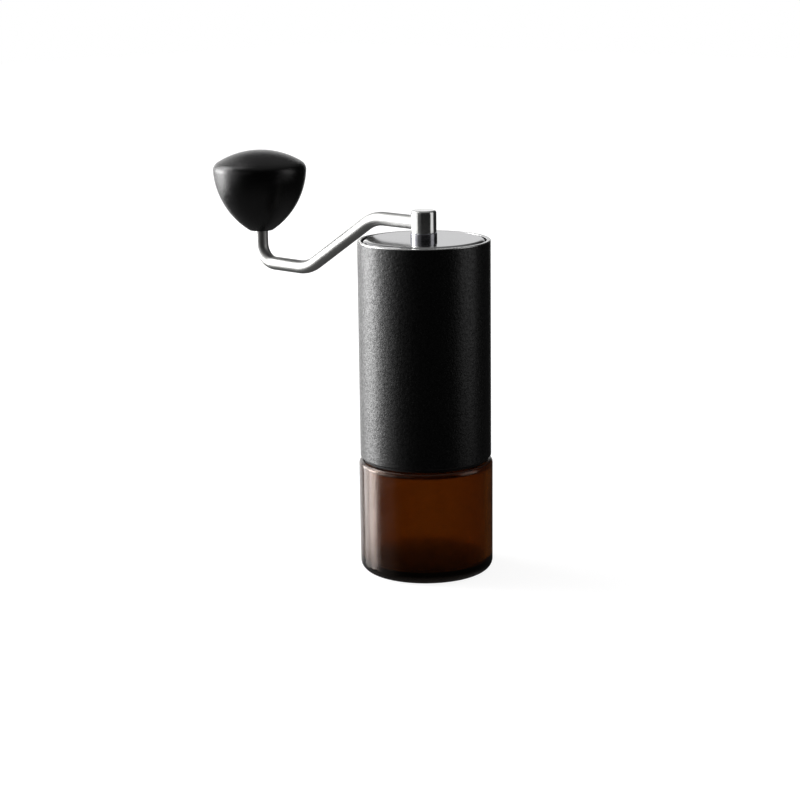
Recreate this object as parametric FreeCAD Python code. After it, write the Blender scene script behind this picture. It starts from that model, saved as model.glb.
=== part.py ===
import FreeCAD, Part
import math
import os

# Hand crank coffee grinder, in millimetres.
# The origin is the middle of the jar's base, Z is up and the crank points along -X.

Vector = FreeCAD.Vector
ORIGIN = Vector(0, 0, 0)
UP = Vector(0, 0, 1)
TINY = 1e-6

# Fits: radial or flat gaps between neighbouring pieces
seat_gap = 0.02
press_gap = 0.02
running_gap = 0.05
free_gap = 0.3
overcut = 1.0

# Jar and its seal
jar_height = 45.2
jar_overhang = 0.6
jar_draft = 0.1
jar_wall = 2.5
jar_floor = 3.6
jar_foot_fillet = 3.6
jar_floor_fillet = 2.0
jar_push_up = 3.2
jar_push_up_share = 0.8
jar_shoulder_fillet = 1.4
jar_inner_fillet = 2.0
jar_neck_height = 8.0
jar_neck_wall = 2.2
jar_neck_fillet = 0.8
jar_thread_room = 0.5
seal_thickness = 1.2
seal_width = 2.0

# Black sleeve
body_radius = 26.0
sleeve_length = 86.1
sleeve_wall = 1.6
sleeve_edge_fillet = 0.4

# Inner frame: hopper, burr seat and the bore for the jar's neck
hopper_wall = 1.9
bridge_step = 0.5
neck_bore_wall = 1.3
neck_bore_room = 1.0
funnel_height = 5.0
funnel_lip = 1.0

# Burrs
burr_rise = 13.6
burr_height = 20.0
burr_barrel_radius = 18.2
burr_flange_width = 3.2
burr_flange_thickness = 2.5
burr_screw_count = 3
burr_screw_radius = 1.0
burr_screw_head_radius = 1.4
burr_screw_head_height = 1.2
burr_screw_length = 7.0
inner_burr_lift = 1.0
inner_burr_height = 17.0
inner_burr_neck_radius = 7.6
grind_band = 5.0
grind_slope = 0.36
grind_gap = 0.35
fine_tooth_count = 30
fine_tooth_depth = 0.8
fine_tooth_twist = 12.0
ring_tooth_count = 36
crush_rib_count = 6
crush_rib_depth = 1.9
crush_rib_twist = 60.0
crush_level_count = 4
flute_count = 12
flute_depth = 1.5
flute_twist = 20.0
ring_wall = 0.45
ring_mouth_wall = 0.8
saw_tooth = ((0.0, 0.0), (0.7, 1.0))
crush_rib = ((0.0, 0.0), (0.5, 0.0), (0.72, 1.0), (0.86, 1.0))
flute = ((0.0, 0.0), (0.3, 0.0), (0.5, 1.0), (0.9, 1.0))

# Grind adjuster
adjust_travel = 1.125
detent_plate_radius = 9.0
detent_plate_thickness = 1.4
detent_pitch_radius = 7.0
detent_count = 12
detent_depth = 0.35
detent_ball_count = 2
detent_ball_radius = 1.0
dial_gap = 0.08
dial_radius = 13.5
dial_thickness = 6.5
dial_edge_fillet = 0.8
dial_scallop_count = 12
dial_scallop_radius = 2.4
dial_scallop_bite = 1.0
dial_hub_radius = 6.5
dial_hub_height = 2.5
dial_hub_fillet = 1.0

# Shaft, with a six-sided head and two flats
shaft_radius = 3.0
shaft_flat = 2.55
shaft_thread_radius = 2.5
shaft_tail = 2.0
shaft_chamfer = 0.5
collar_radius = 4.0
collar_thickness = 1.5
hex_width = 6.0
hex_length = 5.0
clip_thickness = 0.7
clip_groove_depth = 0.5
shaft_clip_radius = 4.2
clip_mouth = 3.6

# Ball bearings
bearing_radius = 6.5
bearing_width = 5.0
race_thickness = 1.15
ball_radius = 1.2
ball_count = 8
ball_gap = 0.05
cage_thickness = 0.8
cage_height = 1.7
cage_offset = 0.2

# Bearing bridges
bridge_lip = 1.5
bridge_lip_width = 1.2
bridge_rim = 1.6
bridge_boss_wall = 1.8
bridge_arm_count = 3
bridge_arm_root = 6.0
bridge_arm_tip = 4.0
bridge_arm_height = 4.0
bridge_arm_turn = 60.0
retaining_ring_thickness = 1.0
retaining_ring_width = 1.8
retaining_ring_bite = 0.6
retaining_ring_mouth = 6.0

# Spring over the inner burr
spring_washer_thickness = 0.8
spring_washer_radius = 4.9
spring_radius = 4.3
spring_wire_radius = 0.45
spring_turns = 4
spring_steps_per_turn = 4
spring_samples_per_turn = 24

# Lid
lid_proud = 0.3
lid_rim_depth = 2.9
lid_plate = 1.8
lid_edge_fillet = 2.4
lid_skirt_depth = 5.0
lid_skirt_wall = 2.0
lid_skirt_gap = 0.15
lid_inner_fillet = 1.0
o_ring_radius = 0.8
bush_radius = 5.2
bush_rise = 2.4
bush_spigot_radius = 4.0
bush_chamfer = 0.4

# Crank
hub_radius = 5.0
hub_height = 8.6
hub_gap = 0.2
hub_fillet = 1.0
spindle_radius = 3.0
arm_radius = 2.75
arm_rise = 3.4
arm_end = 1.5
arm_upper_reach = 26.4
arm_lower_reach = 63.8
crank_reach = 91.7
arm_drop = 23.9
arm_bend = 18.0
stem_bend = 8.0
socket_radius = 6.0
socket_grip = 3.4
socket_gap = 0.1
socket_chamfer = 0.5
hex_top_gap = 0.4
socket_foot_gap = 0.4
socket_pin_radius = 0.8
thrust_washer_thickness = 0.6
thrust_washer_radius = 7.0

# Knob
knob_lift = 13.4
knob_height = 33.4
knob_radius = 19.45
knob_base_radius = 4.95
knob_shoulder_radius = 3.9
knob_shoulder_height = 25.1
knob_side_radius = 32.0
knob_seam = 0.1
knob_cavity_radius = 8.5
knob_cavity_floor = 17.0
knob_spigot_depth = 2.5
knob_bush_wall = 1.1
knob_bush_foot = 0.3
knob_bush_flange_radius = 5.6
knob_bush_flange = 1.0
stem_clip_radius = 4.6
stem_clip_gap = 0.1
stem_tail = 0.9

# Radii that follow from the sizes above
jar_mouth_radius = body_radius + jar_overhang
jar_foot_radius = jar_mouth_radius - jar_draft
jar_bore = jar_mouth_radius - jar_wall
jar_push_up_reach = jar_bore / 2 - jar_floor_fillet
jar_push_up_slope = math.atan2(jar_push_up, jar_bore - jar_push_up_reach)
jar_push_up_bend = jar_push_up_share * jar_push_up_reach / math.tan(jar_push_up_slope / 2)
sleeve_bore = body_radius - sleeve_wall
frame_radius = sleeve_bore - press_gap
hopper_bore = frame_radius - hopper_wall
middle_bore = hopper_bore - bridge_step
funnel_bore = middle_bore - bridge_step
neck_bore = frame_radius - neck_bore_wall
jar_neck_radius = neck_bore - jar_thread_room
jar_neck_bore = jar_neck_radius - jar_neck_wall
burr_flange_radius = burr_barrel_radius + burr_flange_width
inner_burr_radius = burr_barrel_radius - ring_wall - fine_tooth_depth - grind_gap
ring_mouth_radius = burr_barrel_radius - ring_mouth_wall - flute_depth
burr_seat_bore = burr_barrel_radius + press_gap
burr_flange_bore = burr_flange_radius + press_gap
burr_screw_circle = (burr_barrel_radius + burr_flange_radius) / 2
ball_circle = (shaft_radius + bearing_radius) / 2
bridge_boss_radius = bearing_radius + press_gap + bridge_boss_wall
lid_radius = sleeve_bore - lid_skirt_gap
lid_skirt_radius = hopper_bore - lid_skirt_gap
bush_hole = bush_spigot_radius + press_gap
arm_hole = arm_radius + press_gap
clip_groove_radius = shaft_radius - clip_groove_depth
stem_groove_radius = arm_radius - clip_groove_depth
knob_bush_radius = arm_radius + running_gap + knob_bush_wall
knob_bush_hole = knob_bush_radius + press_gap

# Heights of the body, from the bottom up
sleeve_bottom = jar_height + seal_thickness
sleeve_top = sleeve_bottom + sleeve_length
jar_neck_top = sleeve_bottom + jar_neck_height
neck_bore_top = jar_neck_top + neck_bore_room
burr_bottom = sleeve_bottom + burr_rise
burr_flange_top = burr_bottom + burr_flange_thickness
burr_top = burr_bottom + burr_height
funnel_bottom = burr_top + seat_gap
funnel_top = funnel_bottom + funnel_height
lower_bridge_floor = funnel_top + funnel_lip
bridge_height = bridge_lip + bearing_width + seat_gap
inner_burr_bottom = burr_bottom + inner_burr_lift
inner_burr_top = inner_burr_bottom + inner_burr_height
detent_top = inner_burr_bottom - seat_gap
detent_bottom = detent_top - detent_plate_thickness
dial_top = detent_bottom - dial_gap
dial_bottom = dial_top - dial_thickness
dial_hub_bottom = dial_bottom - dial_hub_height
shaft_bottom = dial_hub_bottom - adjust_travel - shaft_tail

# Heights of the lid and the drive, from the top down
frame_top = sleeve_top - lid_rim_depth
lid_top = sleeve_top + lid_proud
lid_underside = lid_top - lid_plate
lid_skirt_bottom = frame_top - lid_skirt_depth
socket_top = lid_underside - thrust_washer_thickness - 2 * seat_gap
recess_top = socket_top - socket_grip
hex_top = recess_top - hex_top_gap
collar_top = hex_top - hex_length
socket_bottom = collar_top + socket_foot_gap
collar_bottom = collar_top - collar_thickness
upper_bridge_floor = collar_bottom - seat_gap - bridge_height
lower_bearing_floor = lower_bridge_floor + bridge_lip + seat_gap
upper_bearing_floor = upper_bridge_floor + bridge_lip + seat_gap
shaft_clip_top = lower_bearing_floor - seat_gap
shaft_clip_bottom = shaft_clip_top - clip_thickness
spring_washer_top = shaft_clip_bottom - seat_gap
spring_washer_bottom = spring_washer_top - spring_washer_thickness

# Heights of the crank and the knob
bush_top = lid_top + bush_rise
hub_bottom = bush_top + hub_gap
hub_top = hub_bottom + hub_height
arm_top_level = hub_bottom + arm_rise
arm_low_level = arm_top_level - arm_drop
knob_bottom = arm_low_level + knob_lift
knob_floor = knob_bottom + knob_cavity_floor
stem_clip_bottom = knob_floor + knob_bush_flange + stem_clip_gap
stem_top = stem_clip_bottom + clip_thickness + stem_tail
KNOB_AXIS = Vector(-crank_reach, 0, 0)


def polar(radius, angle, height):
    """Point at a radius, an angle in radians and a height."""
    return Vector(radius * math.cos(angle), radius * math.sin(angle), height)


def fillet_points(before, corner, after, radius):
    """Start, middle and end of the arc that rounds a corner."""
    back = (before - corner).normalize()
    ahead = (after - corner).normalize()
    half = back.getAngle(ahead) / 2
    reach = radius / math.tan(half)
    bisector = (back + ahead).normalize()
    middle = corner + bisector * (radius / math.sin(half) - radius)
    return corner + back * reach, middle, corner + ahead * reach


def route(corners, closed=True):
    """Wire in the XZ plane through (x, z) corners, rounded where a corner also has a radius."""
    spots = [Vector(corner[0], 0, corner[1]) for corner in corners]
    rounds = [corner[2] if len(corner) == 3 else 0 for corner in corners]
    count = len(spots)
    turns = []
    for i, spot in enumerate(spots):
        if rounds[i]:
            turns.append(fillet_points(spots[i - 1], spot, spots[(i + 1) % count], rounds[i]))
        else:
            turns.append((spot, spot, spot))
    edges = []
    for i, (start, middle, end) in enumerate(turns):
        if rounds[i]:
            edges.append(Part.Arc(start, middle, end).toShape())
        following = turns[(i + 1) % count][0]
        if (closed or i + 1 < count) and end.distanceToPoint(following) > TINY:
            edges.append(Part.LineSegment(end, following).toShape())
    return Part.Wire(edges)


def revolved(wire):
    """Solid of revolution about Z from a closed wire in the XZ plane."""
    solid = Part.Face(wire).revolve(ORIGIN, UP, 360)
    if solid.Volume < 0:
        solid.reverse()
    return solid


def turned(corners):
    """Turned solid from (radius, height) or (radius, height, fillet) corners."""
    return revolved(route(corners))


def ring(inner, outer, floor, top):
    """Plain ring about Z."""
    return turned(((inner, floor), (outer, floor), (outer, top), (inner, top)))


def rod(radius, floor, top):
    """Plain upright rod on the Z axis."""
    return Part.makeCylinder(radius, top - floor, Vector(0, 0, floor))


def around(shape, count, first=0.0):
    """Copies of a shape spread evenly about Z, from a first angle in degrees."""
    copies = []
    for i in range(count):
        copy = shape.copy()
        copy.rotate(ORIGIN, UP, first + 360 * i / count)
        copies.append(copy)
    return copies


def prism(spots, height):
    """Upright prism on a closed outline of points."""
    return Part.Face(Part.makePolygon(spots + spots[:1])).extrude(UP * height)


def hex_prism(width, floor, top):
    """Six-sided prism with a width across its flats."""
    corner = width / 2 / math.cos(math.pi / 6)
    spots = [polar(corner, math.pi / 3 * i, floor) for i in range(6)]
    return prism(spots, top - floor)


def flatted_rod(radius, flat, floor, top):
    """Rod with two flats that face +Y and -Y."""
    height = top - floor
    slab = Part.makeBox(2 * radius, 2 * flat, height, Vector(-radius, -flat, floor))
    return rod(radius, floor, top).common(slab)


def split_ring(inner, outer, floor, thickness, mouth):
    """Ring with a mouth cut out of its +X side."""
    whole = ring(inner, outer, floor, floor + thickness)
    depth = thickness + 2 * overcut
    return whole.cut(Part.makeBox(outer, mouth, depth, Vector(0, -mouth / 2, floor - overcut)))


def toothed_loft(levels, count, profile):
    """Solid through star outlines: levels hold height, root radius, tip radius and turn in degrees."""
    pitch = 2 * math.pi / count
    wires = []
    for height, root, tip, turn in levels:
        spots = []
        for i in range(count):
            for share, rise in profile:
                angle = math.radians(turn) + (i + share) * pitch
                spots.append(polar(root + (tip - root) * rise, angle, height))
        wires.append(Part.makePolygon(spots + spots[:1]))
    return Part.makeLoft(wires, True, True)


def jar():
    """Amber jar with a pushed-up floor, a rounded foot and shoulder, and a neck for the thread."""
    inner_shoulder = jar_height - jar_wall
    return turned((
        (0, 0),
        (jar_foot_radius, 0, jar_foot_fillet),
        (jar_mouth_radius, jar_height, jar_shoulder_fillet),
        (jar_neck_radius, jar_height),
        (jar_neck_radius, jar_neck_top, jar_neck_fillet),
        (jar_neck_bore, jar_neck_top, jar_neck_fillet),
        (jar_neck_bore, inner_shoulder, jar_neck_fillet),
        (jar_bore, inner_shoulder, jar_inner_fillet),
        (jar_bore, jar_floor, jar_floor_fillet),
        (jar_push_up_reach, jar_floor + jar_push_up, jar_push_up_bend),
        (0, jar_floor + jar_push_up),
    ))


def jar_seal_ring():
    """Black ring around the jar's neck, between its shoulder and the body."""
    inner = jar_neck_radius + free_gap
    return ring(inner, inner + seal_width, jar_height + seat_gap, sleeve_bottom - seat_gap)


def outer_sleeve():
    """Black tube with eased edges."""
    return turned((
        (sleeve_bore, sleeve_bottom),
        (body_radius, sleeve_bottom, sleeve_edge_fillet),
        (body_radius, sleeve_top, sleeve_edge_fillet),
        (sleeve_bore, sleeve_top, sleeve_edge_fillet),
    ))


def burr_screw_spots(height):
    """Places of the outer burr's screws at a height."""
    step = 2 * math.pi / burr_screw_count
    return [polar(burr_screw_circle, i * step, height) for i in range(burr_screw_count)]


def retaining_groove(bore, floor):
    """Ring of room for a retaining ring in a bore."""
    top = floor + retaining_ring_thickness + 2 * seat_gap
    return ring(bore - overcut, bore + retaining_ring_bite + running_gap, floor, top)


def inner_frame():
    """Hopper tube with two bridge steps, a funnel, the burr seat and a bore for the jar's neck."""
    frame = turned((
        (neck_bore, sleeve_bottom),
        (frame_radius, sleeve_bottom),
        (frame_radius, frame_top),
        (hopper_bore, frame_top),
        (hopper_bore, upper_bridge_floor),
        (middle_bore, upper_bridge_floor),
        (middle_bore, lower_bridge_floor),
        (funnel_bore, lower_bridge_floor),
        (funnel_bore, funnel_top),
        (burr_seat_bore - funnel_lip, funnel_bottom),
        (burr_seat_bore, funnel_bottom),
        (burr_seat_bore, burr_flange_top + seat_gap),
        (burr_flange_bore, burr_flange_top + seat_gap),
        (burr_flange_bore, neck_bore_top),
        (neck_bore, neck_bore_top),
    ))
    bridge_tops = upper_bridge_floor + bridge_height, lower_bridge_floor + bridge_height
    for bore, floor in zip((hopper_bore, middle_bore), bridge_tops):
        frame = frame.cut(retaining_groove(bore, floor))
    hole_depth = burr_screw_length + overcut
    for spot in burr_screw_spots(burr_bottom):
        frame = frame.cut(Part.makeCylinder(burr_screw_radius + press_gap, hole_depth, spot))
    return frame


def bridge(floor, bore):
    """Three-armed bearing holder that stands on a step of the frame."""
    outer = bore - press_gap
    floor = floor + seat_gap
    top = floor + bridge_height - seat_gap
    holder = ring(outer - bridge_rim, outer, floor, top)
    holder = holder.fuse(rod(bridge_boss_radius, floor, top))
    reach = outer - bridge_rim / 2
    arm = prism([
        Vector(0, -bridge_arm_root / 2, floor),
        Vector(reach, -bridge_arm_tip / 2, floor),
        Vector(reach, bridge_arm_tip / 2, floor),
        Vector(0, bridge_arm_root / 2, floor),
    ], bridge_arm_height)
    holder = holder.fuse(around(arm, bridge_arm_count, bridge_arm_turn)).removeSplitter()
    pocket = rod(bearing_radius + press_gap, floor + bridge_lip - seat_gap, top + overcut)
    eye = rod(bearing_radius - bridge_lip_width, floor - overcut, top)
    return holder.cut([pocket, eye])


def bridge_ring(floor, bore):
    """Retaining ring over a bridge."""
    outer = bore + retaining_ring_bite
    return split_ring(
        outer - retaining_ring_width, outer, floor + bridge_height + seat_gap,
        retaining_ring_thickness, retaining_ring_mouth)


def bearing(floor):
    """Outer race, inner race, balls and cage of a ball bearing that stands on a floor."""
    top = floor + bearing_width
    middle = (floor + top) / 2
    groove = Part.makeTorus(ball_circle, ball_radius + ball_gap, Vector(0, 0, middle))
    outer_race = ring(bearing_radius - race_thickness, bearing_radius, floor, top).cut(groove)
    inner_bore = shaft_radius + press_gap
    inner_race = ring(inner_bore, shaft_radius + race_thickness, floor, top).cut(groove)
    spot = Vector(ball_circle, 0, middle)
    balls = Part.makeCompound(around(Part.makeSphere(ball_radius, spot), ball_count))
    half = cage_thickness / 2
    cage_floor = middle + cage_offset
    cage = ring(ball_circle - half, ball_circle + half, cage_floor, cage_floor + cage_height)
    cage = cage.cut(around(Part.makeSphere(ball_radius + ball_gap, spot), ball_count))
    return outer_race, inner_race, balls, cage


def drive_shaft():
    """Stepped shaft: threaded tail, two flats, clip groove, collar and six-sided head."""
    flats_bottom = dial_top
    flats_top = inner_burr_top + adjust_travel
    groove_top = shaft_clip_top + seat_gap
    groove_bottom = shaft_clip_bottom - seat_gap
    shaft = turned((
        (0, shaft_bottom),
        (shaft_thread_radius - shaft_chamfer, shaft_bottom),
        (shaft_thread_radius, shaft_bottom + shaft_chamfer),
        (shaft_thread_radius, flats_bottom),
        (shaft_radius, flats_bottom),
        (shaft_radius, groove_bottom),
        (clip_groove_radius, groove_bottom),
        (clip_groove_radius, groove_top),
        (shaft_radius, groove_top),
        (shaft_radius, collar_bottom),
        (collar_radius, collar_bottom),
        (collar_radius, collar_top),
        (0, collar_top),
    ))
    waste = rod(shaft_radius + overcut, flats_bottom, flats_top)
    waste = waste.cut(flatted_rod(shaft_radius + 2 * overcut, shaft_flat, flats_bottom, flats_top))
    return shaft.cut(waste).fuse(hex_prism(hex_width, collar_top, hex_top)).removeSplitter()


def shaft_clip():
    """Retaining clip under the lower bearing."""
    inner = clip_groove_radius + press_gap
    return split_ring(inner, shaft_clip_radius, shaft_clip_bottom, clip_thickness, clip_mouth)


def spring_seat_washer():
    """Washer that the spring pushes against."""
    return ring(shaft_radius + running_gap, spring_washer_radius, spring_washer_bottom, spring_washer_top)


def helix_point(angle, floor, climb):
    """Point and unit tangent of the spring's helix at an angle."""
    spot = polar(spring_radius, angle, floor + climb * angle)
    tangent = polar(spring_radius, angle + math.pi / 2, climb)
    return spot, tangent.normalize()


def biarc(start, start_tangent, end, end_tangent):
    """Two tangent arcs from one point and direction to another."""
    span = end - start
    both = start_tangent + end_tangent
    spread = 2 * (1 - start_tangent.dot(end_tangent))
    along = span.dot(both)
    reach = (math.sqrt(along * along + spread * span.dot(span)) - along) / spread
    corners = start + start_tangent * reach, end - end_tangent * reach
    joint = (corners[0] + corners[1]) * 0.5
    arcs = []
    for first, corner, last in ((start, corners[0], joint), (joint, corners[1], end)):
        half = (first - corner).getAngle(last - corner) / 2
        middle = fillet_points(first, corner, last, reach * math.tan(half))[1]
        arcs.append(Part.Arc(first, middle, last).toShape())
    return arcs


def least_coil_gap(path, length_per_turn):
    """Least gap between points of the coil that lie at least half a turn apart."""
    spots = path.discretize(Number=spring_samples_per_turn * spring_turns)
    apart = math.ceil(length_per_turn / 2 / (path.Length / (len(spots) - 1)))
    nearest = min(
        spot.distanceToPoint(other)
        for i, spot in enumerate(spots) for other in spots[i + apart:])
    return nearest - 2 * spring_wire_radius


def burr_spring():
    """Coil spring between the seat washer and the inner burr, one unbroken tube."""
    floor = inner_burr_top + seat_gap + spring_wire_radius
    top = spring_washer_bottom - seat_gap - spring_wire_radius
    climb = (top - floor) / (2 * math.pi * spring_turns)
    step = 2 * math.pi / spring_steps_per_turn
    arcs = []
    for i in range(spring_turns * spring_steps_per_turn):
        begin = helix_point(i * step, floor, climb)
        finish = helix_point((i + 1) * step, floor, climb)
        arcs += biarc(*begin, *finish)
    path = Part.Wire(arcs)
    spot, tangent = helix_point(0, floor, climb)
    section = Part.Wire(Part.makeCircle(spring_wire_radius, spot, tangent))
    least = least_coil_gap(path, path.Length / spring_turns)
    print("least gap of the spring to itself", round(least, 3))
    return path.makePipeShell([section], True, False)


def inner_tip_radius(height):
    """Radius of the inner burr's fine teeth at a height."""
    return inner_burr_radius - grind_slope * (height - inner_burr_bottom)


def inner_burr():
    """Cone with fine helical teeth below and deep helical ribs above, bored for the flatted shaft."""
    band_top = inner_burr_bottom + grind_band
    band = []
    for height, turn in ((inner_burr_bottom, 0), (band_top, fine_tooth_twist)):
        tip = inner_tip_radius(height)
        band.append((height, tip - fine_tooth_depth, tip, turn))
    cone = []
    for i in range(crush_level_count + 1):
        share = i / crush_level_count
        height = band_top + (inner_burr_top - band_top) * share
        wide = inner_tip_radius(band_top) - fine_tooth_depth
        tip = wide + (inner_burr_neck_radius - wide) * share
        cone.append((height, tip - crush_rib_depth, tip, crush_rib_twist * share))
    burr = toothed_loft(band, fine_tooth_count, saw_tooth)
    burr = burr.fuse(toothed_loft(cone, crush_rib_count, crush_rib)).removeSplitter()
    bore = flatted_rod(
        shaft_radius + running_gap, shaft_flat + running_gap,
        inner_burr_bottom - overcut, inner_burr_top + overcut)
    return burr.cut(bore)


def outer_burr():
    """Flanged ring with fine helical teeth below and flutes above."""
    ring_solid = turned((
        (0, burr_bottom),
        (burr_flange_radius, burr_bottom),
        (burr_flange_radius, burr_flange_top),
        (burr_barrel_radius, burr_flange_top),
        (burr_barrel_radius, burr_top),
        (0, burr_top),
    ))
    band_top = inner_burr_bottom + grind_band
    fine = []
    for height, turn in ((burr_bottom - overcut, 0), (band_top, -fine_tooth_twist)):
        tip = inner_tip_radius(height) + grind_gap
        fine.append((height, tip + fine_tooth_depth, tip, turn))
    throat = inner_tip_radius(band_top) + grind_gap
    coarse = []
    for height, tip, turn in (
            (band_top, throat, 0), (burr_top + overcut, ring_mouth_radius, -flute_twist)):
        coarse.append((height, tip, tip + flute_depth, turn))
    burr = ring_solid.cut(toothed_loft(fine, ring_tooth_count, saw_tooth))
    burr = burr.cut(toothed_loft(coarse, flute_count, flute))
    hole_depth = burr_flange_thickness + overcut
    for spot in burr_screw_spots(burr_bottom):
        hole = Part.makeCylinder(burr_screw_radius + press_gap, hole_depth, spot)
        burr = burr.cut([hole, countersink(spot, press_gap)])
    return burr


def countersink(spot, gap):
    """Cone of a screw's head, wide end down, with a gap around it."""
    wide = burr_screw_head_radius + gap
    narrow = burr_screw_radius + gap
    return Part.makeCone(wide, narrow, burr_screw_head_height, spot)


def outer_burr_screws():
    """Countersunk screws that hold the outer burr, as separate solids."""
    screws = []
    for spot in burr_screw_spots(burr_bottom):
        stem = Part.makeCylinder(burr_screw_radius, burr_screw_length, spot)
        screws.append(countersink(spot, 0).fuse(stem).removeSplitter())
    return Part.makeCompound(screws)


def detent_plate():
    """Notched plate under the inner burr."""
    bore = flatted_rod(
        shaft_radius + running_gap, shaft_flat + running_gap, detent_bottom - overcut, detent_top + overcut)
    plate = rod(detent_plate_radius, detent_bottom, detent_top).cut(bore)
    spot = Vector(detent_pitch_radius, 0, detent_bottom + detent_depth - detent_ball_radius)
    return plate.cut(around(Part.makeSphere(detent_ball_radius, spot), detent_count))


def detent_balls():
    """Steel balls in the dial, level with the plate's lower face."""
    spot = Vector(detent_pitch_radius, 0, detent_bottom - seat_gap - detent_ball_radius)
    return Part.makeCompound(around(Part.makeSphere(detent_ball_radius, spot), detent_ball_count))


def adjuster_dial():
    """Lobed nut on the shaft's threaded tail, with a pocket for each detent ball."""
    dial = turned((
        (0, dial_hub_bottom),
        (dial_hub_radius, dial_hub_bottom, dial_hub_fillet),
        (dial_hub_radius, dial_bottom),
        (dial_radius, dial_bottom, dial_edge_fillet),
        (dial_radius, dial_top, dial_edge_fillet),
        (0, dial_top),
    ))
    scallop_spot = Vector(dial_radius + dial_scallop_radius - dial_scallop_bite, 0, dial_bottom - overcut)
    scallop = Part.makeCylinder(dial_scallop_radius, dial_thickness + 2 * overcut, scallop_spot)
    dial = dial.cut(around(scallop, dial_scallop_count, 180 / dial_scallop_count))
    pocket_depth = 2 * detent_ball_radius + dial_gap
    pocket_spot = Vector(detent_pitch_radius, 0, dial_top - pocket_depth)
    pocket = Part.makeCylinder(detent_ball_radius + running_gap, pocket_depth + overcut, pocket_spot)
    dial = dial.cut(around(pocket, detent_ball_count))
    return dial.cut(rod(shaft_thread_radius + running_gap, dial_hub_bottom - overcut, dial_top + overcut))


def o_ring_circle():
    """Radius of the O-ring's middle line and its height on the lid's skirt."""
    return hopper_bore - running_gap - o_ring_radius, frame_top - lid_skirt_depth / 2


def lid():
    """Turned lid with a rounded edge, a skirt and a groove for the O-ring."""
    inner = lid_skirt_radius - lid_skirt_wall
    circle, level = o_ring_circle()
    groove_half = o_ring_radius + running_gap
    groove_floor = circle - o_ring_radius - seat_gap
    return turned((
        (bush_hole, lid_underside),
        (inner, lid_underside, lid_inner_fillet),
        (inner, lid_skirt_bottom),
        (lid_skirt_radius, lid_skirt_bottom),
        (lid_skirt_radius, level - groove_half),
        (groove_floor, level - groove_half),
        (groove_floor, level + groove_half),
        (lid_skirt_radius, level + groove_half),
        (lid_skirt_radius, frame_top + seat_gap),
        (lid_radius, frame_top + seat_gap),
        (lid_radius, lid_top, lid_edge_fillet),
        (bush_hole, lid_top),
    ))


def lid_o_ring():
    """Rubber ring in the lid's skirt."""
    circle, level = o_ring_circle()
    return Part.makeTorus(circle, o_ring_radius, Vector(0, 0, level))


def lid_bush():
    """Polished collar that the crank's spindle turns in."""
    bore = spindle_radius + running_gap
    return turned((
        (bore, lid_underside),
        (bush_spigot_radius, lid_underside),
        (bush_spigot_radius, lid_top + seat_gap),
        (bush_radius, lid_top + seat_gap),
        (bush_radius, bush_top - bush_chamfer),
        (bush_radius - bush_chamfer, bush_top),
        (bore, bush_top),
    ))


def socket_pin_hole(radius):
    """Cross bore through the socket and the spindle."""
    level = (socket_top + recess_top) / 2
    start = Vector(0, -socket_radius - overcut, level)
    return Part.makeCylinder(radius, 2 * (socket_radius + overcut), start, Vector(0, 1, 0))


def crank_hub():
    """Polished hub with its spindle, drilled for the arm and the cross pin."""
    hub = turned((
        (0, recess_top),
        (spindle_radius, recess_top),
        (spindle_radius, hub_bottom),
        (hub_radius, hub_bottom),
        (hub_radius, hub_top, hub_fillet),
        (0, hub_top),
    ))
    start = Vector(arm_end + seat_gap, 0, arm_top_level)
    seat = Part.makeCylinder(arm_hole, hub_radius + arm_end + overcut, start, Vector(-1, 0, 0))
    return hub.cut([seat, socket_pin_hole(socket_pin_radius + press_gap)])


def crank_arm():
    """Bent round rod: level at the hub, sloping down, level again and turned up into the knob."""
    path = route((
        (arm_end, arm_top_level),
        (-arm_upper_reach, arm_top_level, arm_bend),
        (-arm_lower_reach, arm_low_level, arm_bend),
        (-crank_reach, arm_low_level, stem_bend),
        (-crank_reach, stem_top),
    ), closed=False)
    start = Vector(arm_end, 0, arm_top_level)
    section = Part.Wire(Part.makeCircle(arm_radius, start, Vector(-1, 0, 0)))
    arm = path.makePipeShell([section], True, False)
    groove = ring(
        stem_groove_radius, arm_radius + overcut,
        stem_clip_bottom - seat_gap, stem_clip_bottom + clip_thickness + seat_gap)
    groove.translate(KNOB_AXIS)
    return arm.cut(groove)


def drive_socket():
    """Six-sided socket under the lid, pinned to the spindle."""
    socket = turned((
        (0, socket_bottom),
        (socket_radius - socket_chamfer, socket_bottom),
        (socket_radius, socket_bottom + socket_chamfer),
        (socket_radius, socket_top - socket_chamfer),
        (socket_radius - socket_chamfer, socket_top),
        (0, socket_top),
    ))
    recess = hex_prism(hex_width + 2 * socket_gap, socket_bottom - overcut, recess_top)
    eye = rod(spindle_radius + press_gap, recess_top - overcut, socket_top + overcut)
    return socket.cut([recess, eye, socket_pin_hole(socket_pin_radius + press_gap)])


def socket_pin():
    """Cross pin with ends that follow the socket's round side."""
    return socket_pin_hole(socket_pin_radius).common(rod(socket_radius, recess_top, socket_top))


def thrust_washer():
    """Thin washer between the socket and the lid."""
    floor = socket_top + seat_gap
    return ring(spindle_radius + running_gap, thrust_washer_radius, floor, floor + thrust_washer_thickness)


def tangent_arc(centre, radius, first, last):
    """Arc in the XZ plane about a centre, between two angles in radians."""
    spots = []
    for angle in (first, (first + last) / 2, last):
        spots.append(centre + Vector(radius * math.cos(angle), 0, radius * math.sin(angle)))
    return Part.Arc(*spots).toShape()


def bearing_angle(origin, target):
    """Angle of the line from one point to another in the XZ plane."""
    return math.atan2(target.z - origin.z, target.x - origin.x)


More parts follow.
